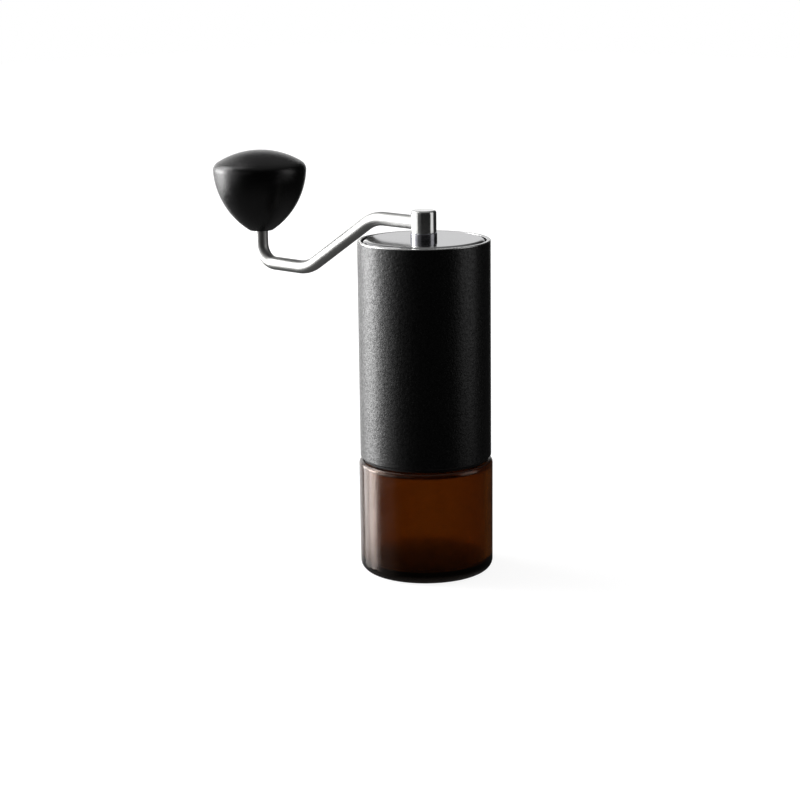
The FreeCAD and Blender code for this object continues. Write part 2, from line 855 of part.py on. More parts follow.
class KnobOutline:
    """Three tangent arcs of the knob: dome, shoulder and side."""

    def __init__(self):
        rise = knob_height - knob_shoulder_height
        inset = knob_radius - knob_shoulder_radius
        self.shoulder = Vector(inset, 0, knob_bottom + knob_shoulder_height)
        spread = inset ** 2 + rise ** 2 - knob_shoulder_radius ** 2
        self.dome_radius = spread / (2 * (rise - knob_shoulder_radius))
        self.dome = Vector(0, 0, knob_bottom + knob_height - self.dome_radius)
        self.base = Vector(knob_base_radius, 0, knob_bottom)
        self.side = self.side_centre()
        self.seam_angle = bearing_angle(self.dome, self.shoulder)
        outward = Vector(math.cos(self.seam_angle), 0, math.sin(self.seam_angle))
        self.seam = self.shoulder + outward * knob_shoulder_radius

    def side_centre(self):
        """Centre of the side's arc, through the base and tangent to the shoulder."""
        line = self.base - self.shoulder
        span = line.Length
        near = knob_side_radius - knob_shoulder_radius
        along = (near ** 2 - knob_side_radius ** 2 + span ** 2) / (2 * span)
        off = math.sqrt(near ** 2 - along ** 2)
        line.normalize()
        return self.shoulder + line * along + Vector(line.z, 0, -line.x) * off

    def side_edges(self):
        """Arcs from the base up to the seam."""
        low = bearing_angle(self.side, self.base)
        high = bearing_angle(self.side, self.shoulder)
        return [
            tangent_arc(self.side, knob_side_radius, low, high),
            tangent_arc(self.shoulder, knob_shoulder_radius, high, self.seam_angle),
        ]

    def dome_edge(self):
        """Arc from the seam up to the top."""
        return tangent_arc(self.dome, self.dome_radius, self.seam_angle, math.pi / 2)


def lines(*spots):
    """Straight edges through points."""
    return [Part.LineSegment(first, last).toShape() for first, last in zip(spots, spots[1:])]


def knob_body(outline):
    """Knob below its seam, bored for the bush and hollow under the cap."""
    inside = lines(
        outline.seam,
        Vector(knob_cavity_radius, 0, outline.seam.z),
        Vector(knob_cavity_radius, 0, knob_floor),
        Vector(knob_bush_hole, 0, knob_floor),
        Vector(knob_bush_hole, 0, knob_bottom),
        outline.base)
    return on_stem(revolved(Part.Wire(outline.side_edges() + inside)))


def knob_cap(outline):
    """Domed cap with a spigot in the knob's hollow and a fine seam at its edge."""
    spigot = knob_cavity_radius - press_gap
    inside = lines(
        Vector(0, 0, knob_bottom + knob_height),
        Vector(0, 0, outline.seam.z - knob_spigot_depth),
        Vector(spigot, 0, outline.seam.z - knob_spigot_depth),
        Vector(spigot, 0, outline.seam.z),
        outline.seam)
    cap = revolved(Part.Wire([outline.dome_edge()] + inside))
    gap = ring(spigot, knob_radius, outline.seam.z - overcut, outline.seam.z + knob_seam)
    return on_stem(cap.cut(gap))


def knob_bush():
    """Flanged plastic bush between the knob and the stem."""
    bore = arm_radius + running_gap
    return on_stem(turned((
        (bore, knob_bottom + knob_bush_foot),
        (knob_bush_radius, knob_bottom + knob_bush_foot),
        (knob_bush_radius, knob_floor + seat_gap),
        (knob_bush_flange_radius, knob_floor + seat_gap),
        (knob_bush_flange_radius, knob_floor + knob_bush_flange),
        (bore, knob_floor + knob_bush_flange),
    )))


def stem_clip():
    """Clip in the stem's groove, over the bush."""
    inner = stem_groove_radius + press_gap
    return on_stem(split_ring(inner, stem_clip_radius, stem_clip_bottom, clip_thickness, clip_mouth))


def on_stem(shape):
    """Shape moved from the Z axis to the knob's axis."""
    shape.translate(KNOB_AXIS)
    return shape


def build():
    """Every piece by name."""
    outline = KnobOutline()
    pieces = {
        "jar": jar(),
        "jar_seal_ring": jar_seal_ring(),
        "outer_sleeve": outer_sleeve(),
        "inner_frame": inner_frame(),
        "upper_bridge": bridge(upper_bridge_floor, hopper_bore),
        "upper_bridge_ring": bridge_ring(upper_bridge_floor, hopper_bore),
        "lower_bridge": bridge(lower_bridge_floor, middle_bore),
        "lower_bridge_ring": bridge_ring(lower_bridge_floor, middle_bore),
        "drive_shaft": drive_shaft(),
        "shaft_clip": shaft_clip(),
        "spring_seat_washer": spring_seat_washer(),
        "burr_spring": burr_spring(),
        "inner_burr": inner_burr(),
        "outer_burr": outer_burr(),
        "outer_burr_screws": outer_burr_screws(),
        "detent_plate": detent_plate(),
        "detent_balls": detent_balls(),
        "adjuster_dial": adjuster_dial(),
        "lid": lid(),
        "lid_o_ring": lid_o_ring(),
        "lid_bush": lid_bush(),
        "crank_hub": crank_hub(),
        "crank_arm": crank_arm(),
        "drive_socket": drive_socket(),
        "socket_pin": socket_pin(),
        "thrust_washer": thrust_washer(),
        "knob_body": knob_body(outline),
        "knob_cap": knob_cap(outline),
        "knob_bush": knob_bush(),
        "stem_clip": stem_clip(),
    }
    bearing_pieces = "outer_race", "inner_race", "balls", "cage"
    for place, floor in (("upper", upper_bearing_floor), ("lower", lower_bearing_floor)):
        for piece, shape in zip(bearing_pieces, bearing(floor)):
            pieces[f"{place}_bearing_{piece}"] = shape
    return pieces


os.makedirs("parts", exist_ok=True)
for name, shape in build().items():
    print(name, "solids", len(shape.Solids), "volume", round(shape.Volume, 2), "valid", shape.isValid())
    shape.exportStep(f"parts/{name}.step")
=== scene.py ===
"""Looks of a slim hand crank coffee grinder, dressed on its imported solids."""

import logging
import math
from dataclasses import dataclass, field
from enum import Enum
from typing import NamedTuple, Optional, Sequence, Union

import bmesh
import bpy
from mathutils import Matrix, Vector


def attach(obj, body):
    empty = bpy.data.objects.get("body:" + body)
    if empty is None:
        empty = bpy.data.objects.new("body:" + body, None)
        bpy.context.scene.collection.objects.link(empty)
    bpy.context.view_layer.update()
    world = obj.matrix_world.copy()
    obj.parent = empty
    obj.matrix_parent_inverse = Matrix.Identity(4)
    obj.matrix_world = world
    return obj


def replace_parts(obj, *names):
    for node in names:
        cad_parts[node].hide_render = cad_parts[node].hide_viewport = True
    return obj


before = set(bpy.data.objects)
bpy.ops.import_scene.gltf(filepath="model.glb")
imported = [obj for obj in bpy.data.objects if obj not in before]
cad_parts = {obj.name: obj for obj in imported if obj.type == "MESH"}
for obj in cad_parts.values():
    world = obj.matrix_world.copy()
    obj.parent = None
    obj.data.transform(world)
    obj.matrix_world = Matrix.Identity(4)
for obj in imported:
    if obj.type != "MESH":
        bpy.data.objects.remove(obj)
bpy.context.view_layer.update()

log = logging.getLogger("grinder")

# Shapes are drawn in millimetres and scaled to metres when they become pieces.
MM = 0.001
FULL_TURN = 2 * math.pi
STEPS = 192
ROD_STEPS = 48
ROUND_STEPS = 8
SUPPORT = 0.04
SHARP_ANGLE = math.radians(32)
MERGE_DISTANCE = 1e-4
STEM_AXIS = -91.7

# Detail of noise, and the steps that harden it.
EVEN = 1.0
CLOUDY = 3.0
WORN = 4.0
CONTRAST = (0.35, 0.65)

Colour = tuple[float, float, float, float]
Ring = list[Union[bmesh.types.BMVert, bmesh.types.BMEdge]]

BLACK: Colour = (0.0, 0.0, 0.0, 1.0)
WHITE: Colour = (1.0, 1.0, 1.0, 1.0)


class Slot(Enum):
    """Material slots of the record."""

    GLASS = "amber_glass"
    COAT = "black_coat"
    ALUMINIUM = "bare_aluminium"
    POLISHED = "polished_steel"
    GROUND = "ground_steel"
    PLASTIC = "black_plastic"
    RUBBER = "black_rubber"
    NYLON = "white_nylon"


class Body(Enum):
    """Moving bodies that pieces ride on."""

    JAR = "jar"
    GRINDER = "grinder_body"
    LID = "lid"
    CRANK = "crank"
    KNOB = "knob"


class Lay(Enum):
    """Way in which tool marks follow one another on a turned surface."""

    UPWARD = "upward"
    OUTWARD = "outward"


class Value:
    """A number that varies over a surface: a socket with arithmetic."""

    def __init__(self, graph: "Graph", socket: bpy.types.NodeSocket) -> None:
        """Wrap a socket of a graph."""
        self.graph = graph
        self.socket = socket

    def maths(self, operation: str, *terms: "Number") -> "Value":
        """Add one Math node.

        Args:
            operation: The node's operation.
            terms: Its inputs in order.

        Returns:
            The node's result.
        """
        node = self.graph.node("ShaderNodeMath", {"operation": operation}, dict(enumerate(terms)))
        return Value(self.graph, node.outputs[0])

    def __add__(self, other: "Number") -> "Value":
        """Sum."""
        return self.maths("ADD", self, other)

    def __radd__(self, other: "Number") -> "Value":
        """Sum, reflected."""
        return self.maths("ADD", other, self)

    def __sub__(self, other: "Number") -> "Value":
        """Difference."""
        return self.maths("SUBTRACT", self, other)

    def __rsub__(self, other: "Number") -> "Value":
        """Difference, reflected."""
        return self.maths("SUBTRACT", other, self)

    def __mul__(self, other: "Number") -> "Value":
        """Product."""
        return self.maths("MULTIPLY", self, other)

    def __rmul__(self, other: "Number") -> "Value":
        """Product, reflected."""
        return self.maths("MULTIPLY", other, self)

    def __pow__(self, other: "Number") -> "Value":
        """Power."""
        return self.maths("POWER", self, other)

    def __abs__(self) -> "Value":
        """Size without its sign."""
        return self.maths("ABSOLUTE", self)

    def fraction(self) -> "Value":
        """Part after the decimal point."""
        return self.maths("FRACT", self)

    def below(self, limit: float) -> "Value":
        """One where the value is under a limit, and zero elsewhere."""
        return self.maths("LESS_THAN", self, limit)

    def larger(self, other: "Number") -> "Value":
        """Larger of two values."""
        return self.maths("MAXIMUM", self, other)

    def between(self, ends: tuple[float, float]) -> "Value":
        """First end where the value is zero, second where it is one."""
        low, high = ends
        return low + (high - low) * self

    def blend(self, other: "Value", share: float) -> "Value":
        """Sum of a share of this value and the rest of another."""
        return self * share + other * (1 - share)

    def distance(self, other: "Value") -> "Value":
        """How far the point with these two coordinates is from zero."""
        return (self * self + other * other) ** 0.5

    def rise(self, low: float, high: float) -> "Value":
        """Smooth step from zero at low to one at high."""
        settings = {"interpolation_type": "SMOOTHSTEP"}
        node = self.graph.node("ShaderNodeMapRange", settings, {0: self, 1: low, 2: high})
        return Value(self.graph, node.outputs[0])


Number = Union[float, Value]
Input = Union[float, Sequence[float], Value, bpy.types.NodeSocket]


class Graph:
    """Node tree of one material or of the world, filled by plain calls."""

    def __init__(self, tree: bpy.types.NodeTree) -> None:
        """Empty a tree and keep it."""
        self.tree = tree
        self.tree.nodes.clear()

    def node(
        self, kind: str, settings: dict[str, object], inputs: dict[Union[int, str], Input]
    ) -> bpy.types.Node:
        """Add one node.

        Args:
            kind: The node's type.
            settings: Attributes to set first.
            inputs: Values or links by the socket's name or number.

        Returns:
            The new node.
        """
        node = self.tree.nodes.new(kind)
        for name, value in settings.items():
            setattr(node, name, value)
        for key, value in inputs.items():
            if isinstance(value, Value):
                value = value.socket
            if isinstance(value, bpy.types.NodeSocket):
                self.tree.links.new(value, node.inputs[key])
            else:
                node.inputs[key].default_value = value
        return node

    def place(self) -> tuple[Value, Value, Value]:
        """X, Y and Z of a point in the object's own coordinates."""
        spot = self.node("ShaderNodeTexCoord", {}, {}).outputs["Object"]
        parts = self.node("ShaderNodeSeparateXYZ", {}, {0: spot})
        return tuple(Value(self, socket) for socket in parts.outputs)

    def noise(self, scale: float, detail: float = 2.0) -> Value:
        """Cloudy value from zero to one, with features of 1 / scale metres."""
        spot = self.node("ShaderNodeTexCoord", {}, {}).outputs["Object"]
        inputs = {"Vector": spot, "Scale": scale, "Detail": detail}
        return Value(self, self.node("ShaderNodeTexNoise", {}, inputs).outputs[0])

    def lines(self, along: Value, per_metre: float) -> Value:
        """Uneven lines that follow one another along a coordinate."""
        settings = {"noise_dimensions": "1D"}
        inputs = {"W": along, "Scale": per_metre, "Detail": EVEN}
        return Value(self, self.node("ShaderNodeTexNoise", settings, inputs).outputs[0])

    def mix(self, share: Number, first: Input, second: Input) -> bpy.types.NodeSocket:
        """Colour between two colours."""
        inputs = {0: share, 6: first, 7: second}
        return self.node("ShaderNodeMix", {"data_type": "RGBA"}, inputs).outputs[2]

    def bump(self, height: Value, strength: float, depth: float) -> bpy.types.NodeSocket:
        """Normal of a relief that is depth metres deep."""
        inputs = {"Height": height, "Strength": strength, "Distance": depth}
        return self.node("ShaderNodeBump", {}, inputs).outputs[0]

    def facing(self, way: Vector) -> Value:
        """Cosine between the world's direction and a given one."""
        ahead = self.node("ShaderNodeTexCoord", {}, {}).outputs["Generated"]
        inputs = {0: ahead, 1: way.normalized()}
        node = self.node("ShaderNodeVectorMath", {"operation": "DOT_PRODUCT"}, inputs)
        return Value(self, node.outputs["Value"])

    def ray(self, *kinds: str) -> Value:
        """One for the named kinds of light path, and zero for all others."""
        path = self.node("ShaderNodeLightPath", {}, {})
        found = Value(self, path.outputs[kinds[0]])
        for kind in kinds[1:]:
            found = found.larger(Value(self, path.outputs[kind]))
        return found


@dataclass(frozen=True)
class Finish:
    """Look of one surface, made once as a node material."""

    name: str
    slot: Slot

    def surface(self, graph: Graph) -> dict[str, Input]:
        """Inputs of the surface shader."""
        raise NotImplementedError

    def inside(self, graph: Graph) -> Optional[bpy.types.NodeSocket]:
        """Shader of the volume, if the finish has one."""
        return None

    def material(self) -> bpy.types.Material:
        """Find or make the material.

        Returns:
            The material with this finish's name.
        """
        material = bpy.data.materials.get(self.name)
        if material is None:
            material = bpy.data.materials.new(self.name)
            material.use_nodes = True
            graph = Graph(material.node_tree)
            shader = graph.node("ShaderNodeBsdfPrincipled", {}, self.surface(graph))
            ends = {"Surface": shader.outputs[0]}
            volume = self.inside(graph)
            if volume is not None:
                ends["Volume"] = volume
            graph.node("ShaderNodeOutputMaterial", {}, ends)
        return material


@dataclass(frozen=True)
class PowderCoat(Finish):
    """Black coat with a fine, blasted grain."""

    dark: Colour = (0.0006, 0.0006, 0.0007, 1)
    pale: Colour = (0.002, 0.002, 0.0021, 1)
    grain: float = 900.0
    fine_grain: float = 2300.0
    roughness: tuple[float, float] = (0.3, 0.4)
    gloss: float = 0.22
    sheen: tuple[float, float] = (0.15, 0.8)
    sheen_share: float = 0.5
    relief: float = 0.0003
    relief_share: float = 0.6
    strength: float = 0.9

    def surface(self, graph: Graph) -> dict[str, Input]:
        """Grainy black with a soft sheen that differs from grain to grain."""
        coarse = graph.noise(self.grain)
        fine = graph.noise(self.fine_grain, EVEN)
        speckle = coarse.blend(fine, self.sheen_share).rise(*CONTRAST)
        height = coarse.blend(fine, self.relief_share)
        return {
            "Base Color": graph.mix(fine, self.dark, self.pale),
            "Roughness": coarse.between(self.roughness),
            "Specular IOR Level": self.gloss,
            "Coat Weight": speckle.between(self.sheen),
            "Coat Roughness": self.roughness[0],
            "Normal": graph.bump(height, self.strength, self.relief),
        }


@dataclass(frozen=True)
class TurnedMetal(Finish):
    """Metal with the fine rings that a lathe or a polishing wheel leaves."""

    tone: Colour = (0.78, 0.78, 0.77, 1)
    shade: Colour = (0.66, 0.66, 0.65, 1)
    roughness: tuple[float, float] = (0.1, 0.2)
    lay: Lay = Lay.UPWARD
    marks: float = 9000.0
    clouds: float = 90.0
    tone_share: float = 0.7
    rough_share: float = 0.6
    relief: float = 0.000002
    strength: float = 0.3
    edge: Colour = WHITE

    def surface(self, graph: Graph) -> dict[str, Input]:
        """Bare metal, cloudy in its polish and lined by the tool."""
        across, deep, up = graph.place()
        along = up if self.lay is Lay.UPWARD else across.distance(deep)
        lines = graph.lines(along, self.marks)
        cloud = graph.noise(self.clouds, CLOUDY)
        return {
            "Base Color": graph.mix(cloud.blend(lines, self.tone_share), self.shade, self.tone),
            "Metallic": 1.0,
            "Specular Tint": self.edge,
            "Roughness": cloud.blend(lines, self.rough_share).between(self.roughness),
            "Normal": graph.bump(lines, self.strength, self.relief),
        }


@dataclass(frozen=True)
class MarkedMetal(TurnedMetal):
    """Turned metal with a ring of dark marks cut into its lower face."""

    count: int = 12
    ring: tuple[float, float] = (8.0 * MM, 11.0 * MM)
    half_width: float = 0.22 * MM
    face: float = 53.05 * MM
    ink: Colour = (0.01, 0.01, 0.01, 1)

    def surface(self, graph: Graph) -> dict[str, Input]:
        """Bare metal under the marks."""
        across, deep, up = graph.place()
        radius = across.distance(deep)
        turn = across.maths("ARCTAN2", deep, across) * (self.count / FULL_TURN)
        off = abs((turn + 0.5).fraction() - 0.5) * radius * (FULL_TURN / self.count)
        inner, outer = self.ring
        band = radius.below(outer) - radius.below(inner)
        mark = off.below(self.half_width) * band * up.below(self.face)
        plain = super().surface(graph)
        plain["Base Color"] = graph.mix(mark, plain["Base Color"], self.ink)
        return plain


@dataclass(frozen=True)
class GroundSteel(Finish):
    """Hard steel, ground and lightly oiled."""

    tone: Colour = (0.58, 0.575, 0.56, 1)
    shade: Colour = (0.4, 0.395, 0.385, 1)
    roughness: tuple[float, float] = (0.22, 0.42)
    clouds: float = 240.0
    marks: float = 5200.0
    relief: float = 0.00001
    strength: float = 0.25

    def surface(self, graph: Graph) -> dict[str, Input]:
        """Grey steel with cloudy wear and grinding marks."""
        cloud = graph.noise(self.clouds, WORN)
        return {
            "Base Color": graph.mix(cloud, self.shade, self.tone),
            "Metallic": 1.0,
            "Roughness": cloud.between(self.roughness),
            "Normal": graph.bump(graph.noise(self.marks, EVEN), self.strength, self.relief),
        }


@dataclass(frozen=True)
class AmberGlass(Finish):
    """Dark amber glass, tinted through its thickness, with a band of painted shade at its shoulder."""

    tint: Colour = (0.467, 0.276, 0.085, 1)
    # Painted shade: near-black tint of the band at the shoulder, standing in for the dark gap under the
    # sleeve.
    deep: Colour = (0.03, 0.017, 0.008, 1)
    shade_band_start: tuple[float, float] = (43.9 * MM, 44.5 * MM)
    shade_band_end: tuple[float, float] = (45.6 * MM, 46.2 * MM)
    gleam: Colour = (1.0, 0.78, 0.66, 1)
    absorbed: Colour = (0.618, 0.456, 0.0, 1)
    density: float = 800.0
    index: float = 1.5
    roughness: tuple[float, float] = (0.13, 0.2)
    clouds: float = 120.0
    waves: float = 55.0
    waviness: float = 0.00012
    strength: float = 0.2

    def surface(self, graph: Graph) -> dict[str, Input]:
        """Clear, slightly wavy surface that softens what it mirrors."""
        _, _, up = graph.place()
        # Painted shade: the tint turns near black in a band at the shoulder, just under the sleeve.
        corner = up.rise(*self.shade_band_start) - up.rise(*self.shade_band_end)
        return {
            "Base Color": graph.mix(corner, self.tint, self.deep),
            "Roughness": graph.noise(self.clouds, CLOUDY).rise(*CONTRAST).between(self.roughness),
            "IOR": self.index,
            "Transmission Weight": 1.0,
            "Specular Tint": self.gleam,
            "Normal": graph.bump(graph.noise(self.waves, EVEN), self.strength, self.waviness),
        }

    def inside(self, graph: Graph) -> bpy.types.NodeSocket:
        """Absorption that deepens the colour in thick glass."""
        inputs = {"Color": self.absorbed, "Density": self.density}
        return graph.node("ShaderNodeVolumeAbsorption", {}, inputs).outputs[0]


@dataclass(frozen=True)
class Moulded(Finish):
    """Moulded plastic or rubber with a fine skin."""

    tone: Colour = (0.0008, 0.0008, 0.0009, 1)
    shade: Colour = (0.002, 0.002, 0.0021, 1)
    roughness: tuple[float, float] = (0.28, 0.4)
    grain: float = 1900.0
    handling: float = 110.0
    handling_share: float = 0.7
    relief: float = 0.0002
    strength: float = 0.3
    gloss: float = 0.5

    def surface(self, graph: Graph) -> dict[str, Input]:
        """Even colour with a fine grain and faint handling marks."""
        skin = graph.noise(self.grain, EVEN)
        wear = graph.noise(self.handling, WORN)
        return {
            "Base Color": graph.mix(wear, self.tone, self.shade),
            "Roughness": wear.blend(skin, self.handling_share).between(self.roughness),
            "Specular IOR Level": self.gloss,
            "Normal": graph.bump(skin, self.strength, self.relief),
        }


COAT = PowderCoat("black_powder_coat", Slot.COAT)
GLASS = AmberGlass("dark_amber_glass", Slot.GLASS)
POLISH = TurnedMetal("polished_steel_rings", Slot.POLISHED)
LID_POLISH = TurnedMetal(
    "polished_lid", Slot.POLISHED, tone=(0.52, 0.52, 0.525, 1), shade=(0.44, 0.44, 0.445, 1),
    roughness=(0.07, 0.15), lay=Lay.OUTWARD, edge=(0.84, 0.84, 0.845, 1))
COLLAR_POLISH = TurnedMetal(
    "polished_collar", Slot.POLISHED, tone=(0.42, 0.42, 0.45, 1), shade=(0.34, 0.34, 0.37, 1),
    roughness=(0.14, 0.24), edge=(0.8, 0.8, 0.84, 1))
RIM_POLISH = TurnedMetal(
    "bare_rim", Slot.POLISHED, tone=(0.6, 0.6, 0.6, 1), shade=(0.5, 0.5, 0.5, 1),
    roughness=(0.2, 0.3), lay=Lay.OUTWARD)
ALUMINIUM = TurnedMetal(
    "turned_aluminium", Slot.ALUMINIUM, tone=(0.8, 0.8, 0.81, 1), shade=(0.68, 0.68, 0.69, 1),
    roughness=(0.26, 0.4), marks=3200.0, relief=0.00001)
DIAL = MarkedMetal(
    "marked_dial", Slot.ALUMINIUM, tone=(0.8, 0.8, 0.81, 1), shade=(0.68, 0.68, 0.69, 1),
    roughness=(0.24, 0.36), marks=3200.0)
DRAWN = GroundSteel(
    "satin_drawn_steel", Slot.POLISHED, tone=(0.45, 0.45, 0.44, 1), shade=(0.39, 0.39, 0.38, 1),
    roughness=(0.4, 0.48))
STEEL = GroundSteel("ground_steel_oiled", Slot.GROUND)
PLASTIC = Moulded(
    "black_satin_plastic", Slot.PLASTIC, roughness=(0.18, 0.28), grain=2000.0, relief=0.0003, gloss=0.4)
RUBBER = Moulded("black_silicone", Slot.RUBBER, roughness=(0.6, 0.78), gloss=0.3)
NYLON = Moulded(
    "natural_nylon", Slot.NYLON, tone=(0.8, 0.78, 0.72, 1), shade=(0.72, 0.7, 0.63, 1),
    roughness=(0.4, 0.55))


class Corner(NamedTuple):
    """Corner of an outline or a path in the XZ plane, in millimetres."""

    across: float
    height: float
    rounding: float = 0.0

    @property
    def spot(self) -> Vector:
        """The corner as a point."""
        return Vector((self.across, 0, self.height))


class Form:
    """One mesh in the making, in millimetres, shaped by mesh operators."""

    def __init__(self) -> None:
        """Start an empty mesh."""
        self.mesh = bmesh.new()

    def outline(self, corners: Sequence[Corner]) -> "Form":
        """Draw a closed outline in the XZ plane.

        Args:
            corners: Corners in order, each with its rounding.

        Returns:
            The form itself.
        """
        spots = [self.mesh.verts.new(corner.spot) for corner in corners]
        for first, last in zip(spots, spots[1:] + spots[:1]):
            self.mesh.edges.new((first, last))
        for spot, corner in zip(spots, corners):
            if corner.rounding:
                self.round_corner(spot, corner.rounding)
        return self

    def round_corner(self, spot: bmesh.types.BMVert, radius: float) -> None:
        """Round one corner of an outline, with a short flat run kept on both sides.

        Args:
            spot: The corner.
            radius: Radius of its rounding.
        """
        first, last = (edge.other_vert(spot).co - spot.co for edge in spot.link_edges)
        reach = radius / math.tan(first.angle(last) / 2)
        for edge in spot.link_edges[:]:
            share = (reach + SUPPORT) / edge.calc_length()
            if share < 1:
                bmesh.utils.edge_split(edge, spot, share)
        bmesh.ops.bevel(
            self.mesh, geom=[spot], offset=reach, offset_type="OFFSET", segments=ROUND_STEPS,
            profile=0.5, affect="VERTICES", material=-1)

    def arc(
        self, start: bmesh.types.BMVert, centre: Vector, angle: float, steps: int
    ) -> bmesh.types.BMVert:
        """Draw an arc in the XZ plane.

        Args:
            start: Point to start from.
            centre: Centre of the arc.
            angle: Turn in radians, counted from X to Z.
            steps: Number of edges.

        Returns:
            The arc's last point.
        """
        made = bmesh.ops.spin(
            self.mesh, geom=[start], cent=centre, axis=(0, -1, 0), angle=angle, steps=steps,
            use_merge=False, use_duplicate=False)
        return made["geom_last"][0]

    def run(self, start: bmesh.types.BMVert, *spots: tuple[float, float]) -> bmesh.types.BMVert:
        """Draw straight edges in the XZ plane.

        Args:
            start: Point to start from.
            spots: X and Z of the points to go through.

        Returns:
            The last point.
        """
        for across, up in spots:
            spot = self.mesh.verts.new((across, 0, up))
            self.mesh.edges.new((start, spot))
            start = spot
        return start

    def turn(self, steps: int = STEPS) -> "Form":
        """Turn the outline about Z into a closed shell.

        Args:
            steps: Number of steps around.

        Returns:
            The form itself.
        """
        mesh = self.mesh
        bmesh.ops.spin(
            mesh, geom=mesh.verts[:] + mesh.edges[:], cent=(0, 0, 0), axis=(0, 0, 1),
            angle=FULL_TURN, steps=steps, use_merge=True, use_duplicate=False)
        bmesh.ops.remove_doubles(mesh, verts=mesh.verts, dist=MERGE_DISTANCE)
        bmesh.ops.recalc_face_normals(mesh, faces=mesh.faces)
        return self

    def ridge(
        self, radius: float, rise: float, width: float, floor: float, pitch: float, turns: float
    ) -> "Form":
        """Add a helical thread ridge that runs out at both ends.

        Args:
            radius: Radius of the wall that carries it.
            rise: Height of the ridge, below zero inside a bore.
            width: Width at its root.
            floor: Height of its start.
            pitch: Climb per turn.
            turns: Number of turns.

        Returns:
            The form itself.
        """
        mesh = self.mesh
        known = set(mesh.faces)
        root = radius - rise / 4
        crest = radius + rise
        section = ((root, -width / 2), (crest, -width / 5), (crest, width / 5), (root, width / 2))
        spots = [mesh.verts.new((across, 0, floor + up)) for across, up in section]
        edges = [mesh.edges.new(pair) for pair in zip(spots, spots[1:] + spots[:1])]
        steps = round(STEPS / 2 * turns)
        made = bmesh.ops.spin(
            mesh, geom=spots + edges, cent=(0, 0, 0), axis=(0, 0, 1), dvec=(0, 0, pitch * turns / steps),
            angle=FULL_TURN * turns, steps=steps, use_merge=False, use_duplicate=False)
        last = [item for item in made["geom_last"] if isinstance(item, bmesh.types.BMVert)]
        for end in (spots, last):
            outward = (end[0].co * Vector((1, 1, 0))).normalized()
            bmesh.ops.translate(mesh, vec=outward * -rise, verts=end)
            bmesh.ops.contextual_create(mesh, geom=end)
        fresh = [face for face in mesh.faces if face not in known]
        bmesh.ops.recalc_face_normals(mesh, faces=fresh)
        return self

    def pull(self, ring: Ring, way: Vector) -> Ring:
        """Pull a ring of points and edges straight on.

        Args:
            ring: The ring to pull.
            way: How far, and where to.

        Returns:
            The ring at the new end.
        """
        made = bmesh.ops.spin(
            self.mesh, geom=ring, cent=way, axis=(0, 0, 1), dvec=way, angle=0, steps=1,
            use_merge=False, use_duplicate=False)
        return made["geom_last"]

    def sweep(self, corners: Sequence[Corner], radius: float) -> "Form":
        """Draw a round rod along a path in the XZ plane.

        Args:
            corners: Corners of its middle line, each with its bend.
            radius: Radius of the rod.

        Returns:
            The form itself.
        """
        mesh = self.mesh
        known = set(mesh.faces)
        spots = [corner.spot for corner in corners]
        ways = [(last - first).normalized() for first, last in zip(spots, spots[1:])]
        place = Matrix.Translation(spots[0]) @ ways[0].to_track_quat("Z", "Y").to_matrix().to_4x4()
        start = bmesh.ops.create_circle(mesh, segments=ROD_STEPS, radius=radius, matrix=place)["verts"]
        ring = start + list({edge for spot in start for edge in spot.link_edges})
        ends = ring[:]
        here = spots[0]
        for corner, way, following in zip(corners[1:], ways, ways[1:]):
            angle = way.angle(following)
            reach = corner.rounding * math.tan(angle / 2)
            bend = corner.spot - way * reach
            axis = way.cross(following).normalized()
            ring = self.pull(ring, bend - here)
            made = bmesh.ops.spin(
                mesh, geom=ring, cent=bend + axis.cross(way) * corner.rounding, axis=axis, angle=angle,
                steps=ROD_STEPS // 2, use_merge=False, use_duplicate=False)
            ring = made["geom_last"]
            here = corner.spot + following * reach
        ends += self.pull(ring, spots[-1] - here)
        bmesh.ops.holes_fill(mesh, edges=[item for item in ends if isinstance(item, bmesh.types.BMEdge)])
        fresh = [face for face in mesh.faces if face not in known]
        bmesh.ops.recalc_face_normals(mesh, faces=fresh)
        return self

    def shift(self, across: float) -> "Form":
        """Move the whole form along X."""
        bmesh.ops.translate(self.mesh, vec=(across, 0, 0), verts=self.mesh.verts)
        return self

    def repeat(self, count: int) -> "Form":
        """Spread copies of the form evenly about Z."""
        mesh = self.mesh
        bmesh.ops.spin(
            mesh, geom=mesh.verts[:] + mesh.edges[:] + mesh.faces[:], cent=(0, 0, 0), axis=(0, 0, 1),
            angle=FULL_TURN * (count - 1) / count, steps=count - 1, use_merge=False, use_duplicate=True)
        return self

    def piece(self, name: str, body: Body, *finishes: Finish) -> bpy.types.Object:
        """Turn the form into an object that rides on a body.

        Args:
            name: Name of the piece.
            body: Body that it rides on.
            finishes: Finishes in the order of the faces' numbers.

        Returns:
            The finished object.
        """
        mesh = self.mesh
        for face in mesh.faces:
            face.smooth = True
        for edge in mesh.edges:
            edge.smooth = len(edge.link_faces) == 2 and edge.calc_face_angle() < SHARP_ANGLE
        bmesh.ops.scale(mesh, vec=(MM, MM, MM), verts=mesh.verts)
        data = bpy.data.meshes.new(name)
        mesh.to_mesh(data)
        mesh.free()
        for finish in finishes:
            data.materials.append(finish.material())
        made = bpy.data.objects.new(name, data)
        bpy.context.scene.collection.objects.link(made)
        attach(made, body.value)
        log.info("piece %s on %s: %d faces", name, body.value, len(data.polygons))
        return made


def dress(finish: Finish, *nodes: str) -> None:
    """Give solids that keep their own mesh a finish.

    Args:
        finish: The finish.
        nodes: Names of the solids.
    """
    for node in nodes:
        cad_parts[node].material_slots[0].material = finish.material()
        log.info("solid %s: %s", node, finish.name)


